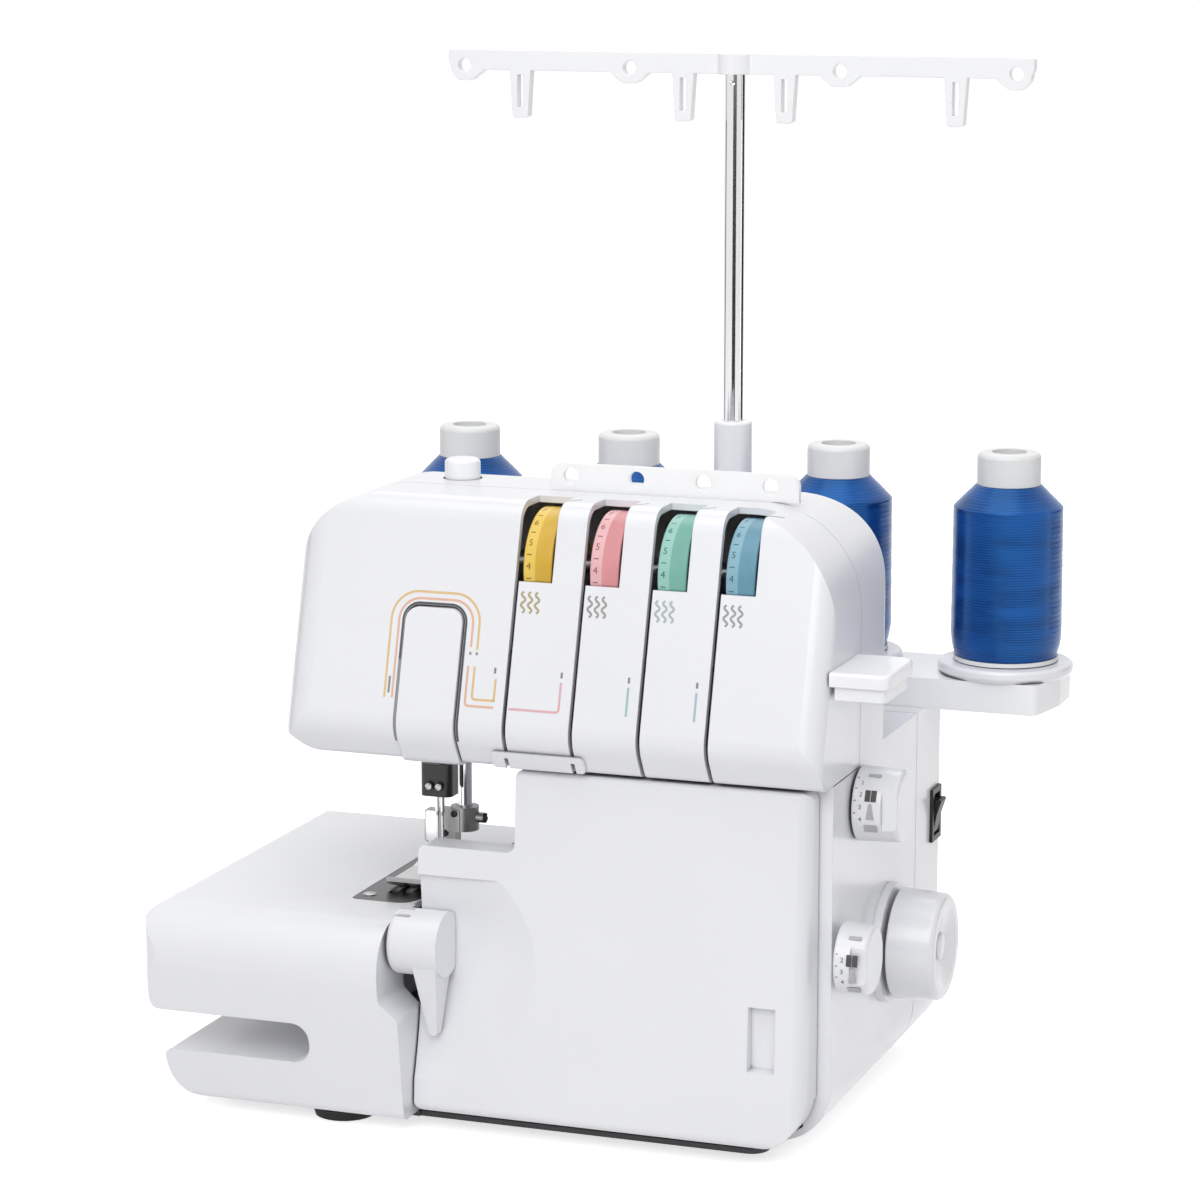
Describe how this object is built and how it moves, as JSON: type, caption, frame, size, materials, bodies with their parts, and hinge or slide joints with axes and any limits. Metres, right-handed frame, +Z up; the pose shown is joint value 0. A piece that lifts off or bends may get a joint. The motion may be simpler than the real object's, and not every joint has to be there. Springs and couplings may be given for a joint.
{
  "type": "serger overlock machine",
  "caption": "White overlock sewing machine with an undercut free-arm bed, sliding front cover, coloured tension dials, side handwheel and a rear spool stand with mast and thread tree.",
  "frame": {"origin": "bottom centre of the whole machine, on the table plane", "axes": "+X towards the handwheel side, +Y towards the back, +Z up"},
  "size_m": [0.37, 0.244, 0.464],
  "materials": {
    "white_shell": "glossy moulded",
    "black_plastic": "satin moulded",
    "steel": "ground",
    "chrome": "polished",
    "cast_alloy": "as cast",
    "bronze": "sintered",
    "rubber": "matte",
    "motor_paint": "satin",
    "clamp_black": "black oxide",
    "ankle_metal": "satin",
    "lever_white": "glossy moulded",
    "plate_steel": "ground dark",
    "dial_yellow": "moulded",
    "dial_pink": "moulded",
    "dial_green": "moulded",
    "dial_blue": "moulded",
    "core_white": "moulded",
    "thread_blue": "cross-wound yarn with a sheen"
  },
  "bodies": {
    "frame": {"base_plate": "black_plastic", "rubber_feet": "rubber", "bed_housing": "white_shell", "main_housing": "white_shell", "rear_cover": "white_shell", "front_panel": "white_shell", "take_up_cover": "white_shell", "thread_lip": "white_shell", "side_ledge": "white_shell", "cover_hinge_rod": "steel", "frame_casting": "cast_alloy", "bronze_bushes": "bronze", "motor": "motor_paint", "drive_belt": "rubber", "needle_plate": "plate_steel", "lower_knife": "steel", "knife_guide": "steel", "tension_bracket": "steel", "tension_discs": "chrome", "thread_guide_plate": "white_shell", "power_block": "black_plastic", "spool_stand": "white_shell", "spool_discs": "white_shell"},
    "drive": {"main_shaft": "steel", "handwheel": "white_shell", "drive_pulley": "black_plastic"},
    "armature": {"motor_pulley": "steel"},
    "needle_set": {"needle_bar": "chrome", "needle_clamp": "clamp_black", "needles": "chrome"},
    "presser": {"presser_bar": "chrome", "presser_ankle": "ankle_metal"},
    "foot": {"presser_foot": "steel"},
    "knob": {"pressure_knob": "white_shell"},
    "lifter": {"lifter_lever": "lever_white"},
    "feed_main": {"main_feed_dog": "steel"},
    "feed_differential": {"differential_feed_dog": "steel"},
    "looper_upper": {"upper_looper": "chrome"},
    "looper_lower": {"lower_looper": "chrome"},
    "knife": {"upper_knife": "steel", "knife_carriage": "cast_alloy"},
    "length_dial": {"stitch_length_dial": "white_shell"},
    "feed_dial": {"differential_dial": "white_shell"},
    "rocker": {"power_rocker": "black_plastic"},
    "cover_slide": {"cover_sleeves": "black_plastic"},
    "cover": {"front_cover": "white_shell"},
    "mast_tube": {"mast": "chrome"},
    "tree": {"thread_tree": "white_shell"},
    "dial_1": {"tension_dial_1": "dial_yellow"},
    "dial_2": {"tension_dial_2": "dial_pink"},
    "dial_3": {"tension_dial_3": "dial_green"},
    "dial_4": {"tension_dial_4": "dial_blue"},
    "spool_1": {"spool_core_1": "core_white", "thread_winding_1": "thread_blue"},
    "spool_2": {"spool_core_2": "core_white", "thread_winding_2": "thread_blue"},
    "spool_3": {"spool_core_3": "core_white", "thread_winding_3": "thread_blue"},
    "spool_4": {"spool_core_4": "core_white", "thread_winding_4": "thread_blue"}
  },
  "joints": [
    {"name": "handwheel_turn", "type": "hinge", "parent": "frame", "child": "drive", "pos_m": [0.129, 0.006, 0.075], "axis": [1, 0, 0], "continuous": true},
    {"name": "armature_turn", "type": "hinge", "parent": "frame", "child": "armature", "pos_m": [0.092, 0.064, 0.042], "axis": [1, 0, 0], "continuous": true},
    {"name": "needle_stroke", "type": "slide", "parent": "frame", "child": "needle_set", "axis": [0, 0, 1], "range_m": [-0.026, 0]},
    {"name": "presser_lift", "type": "slide", "parent": "frame", "child": "presser", "axis": [0, 0, 1], "range_m": [0, 0.0055]},
    {"name": "foot_tilt", "type": "hinge", "parent": "presser", "child": "foot", "pos_m": [-0.075, -0.026, 0.1043], "axis": [1, 0, 0], "range_deg": [-6, 0]},
    {"name": "pressure_turn", "type": "hinge", "parent": "frame", "child": "knob", "pos_m": [-0.069, -0.022, 0.279], "axis": [0, 0, 1], "range_deg": [-180, 180]},
    {"name": "lifter_raise", "type": "hinge", "parent": "frame", "child": "lifter", "pos_m": [-0.055, -0.023, 0.18], "axis": [1, 0, 0], "range_deg": [0, 35]},
    {"name": "main_feed", "type": "slide", "parent": "frame", "child": "feed_main", "axis": [0, 1, 0], "range_m": [-0.002, 0.002]},
    {"name": "differential_feed", "type": "slide", "parent": "frame", "child": "feed_differential", "axis": [0, 1, 0], "range_m": [-0.002, 0.002]},
    {"name": "upper_looper_swing", "type": "hinge", "parent": "frame", "child": "looper_upper", "pos_m": [-0.024, -0.049, 0.072], "axis": [0, 1, 0], "range_deg": [-10, 10]},
    {"name": "lower_looper_swing", "type": "hinge", "parent": "frame", "child": "looper_lower", "pos_m": [-0.042, -0.0415, 0.034], "axis": [0, 1, 0], "range_deg": [-10, 10]},
    {"name": "knife_stroke", "type": "slide", "parent": "frame", "child": "knife", "axis": [0, 0, 1], "range_m": [-0.006, 0]},
    {"name": "tension_1", "type": "hinge", "parent": "frame", "child": "dial_1", "pos_m": [-0.0105, -0.0605, 0.25], "axis": [1, 0, 0], "range_deg": [-150, 150]},
    {"name": "tension_2", "type": "hinge", "parent": "frame", "child": "dial_2", "pos_m": [0.02, -0.0605, 0.25], "axis": [1, 0, 0], "range_deg": [-150, 150]},
    {"name": "tension_3", "type": "hinge", "parent": "frame", "child": "dial_3", "pos_m": [0.0505, -0.0605, 0.25], "axis": [1, 0, 0], "range_deg": [-150, 150]},
    {"name": "tension_4", "type": "hinge", "parent": "frame", "child": "dial_4", "pos_m": [0.081, -0.0605, 0.25], "axis": [1, 0, 0], "range_deg": [-150, 150]},
    {"name": "stitch_length", "type": "hinge", "parent": "frame", "child": "length_dial", "pos_m": [0.14, -0.074, 0.0895], "axis": [1, 0, 0], "range_deg": [-135, 135]},
    {"name": "feed_ratio", "type": "hinge", "parent": "frame", "child": "feed_dial", "pos_m": [0.144, -0.042, 0.15], "axis": [1, 0, 0], "range_deg": [-135, 135]},
    {"name": "power_switch", "type": "hinge", "parent": "frame", "child": "rocker", "pos_m": [0.12, 0.0845, 0.116], "axis": [0, 1, 0], "range_deg": [0, 14]},
    {"name": "cover_shift", "type": "slide", "parent": "frame", "child": "cover_slide", "axis": [1, 0, 0], "range_m": [0, 0.008]},
    {"name": "cover_open", "type": "hinge", "parent": "cover_slide", "child": "cover", "pos_m": [-0.016, -0.096, 0.018], "axis": [1, 0, 0], "range_deg": [0, 75]},
    {"name": "mast_telescope", "type": "slide", "parent": "frame", "child": "mast_tube", "axis": [0, 0, 1], "range_m": [-0.07, 0]},
    {"name": "tree_turn", "type": "hinge", "parent": "mast_tube", "child": "tree", "pos_m": [0.0215, 0.091, 0.464], "axis": [0, 0, 1], "range_deg": [-90, 90]},
    {"name": "spool_1_turn", "type": "hinge", "parent": "frame", "child": "spool_1", "pos_m": [-0.111, 0.091, 0.1904], "axis": [0, 0, 1], "continuous": true},
    {"name": "spool_2_turn", "type": "hinge", "parent": "frame", "child": "spool_2", "pos_m": [-0.03, 0.091, 0.1904], "axis": [0, 0, 1], "continuous": true},
    {"name": "spool_3_turn", "type": "hinge", "parent": "frame", "child": "spool_3", "pos_m": [0.073, 0.091, 0.1904], "axis": [0, 0, 1], "continuous": true},
    {"name": "spool_4_turn", "type": "hinge", "parent": "frame", "child": "spool_4", "pos_m": [0.154, 0.091, 0.1904], "axis": [0, 0, 1], "continuous": true}
  ],
  "couplings": [
    {"joint": "armature_turn", "follows": "handwheel_turn", "ratio": 3.75},
    {"joint": "lifter_raise", "follows": "presser_lift", "rad_per_m": 111}
  ]
}
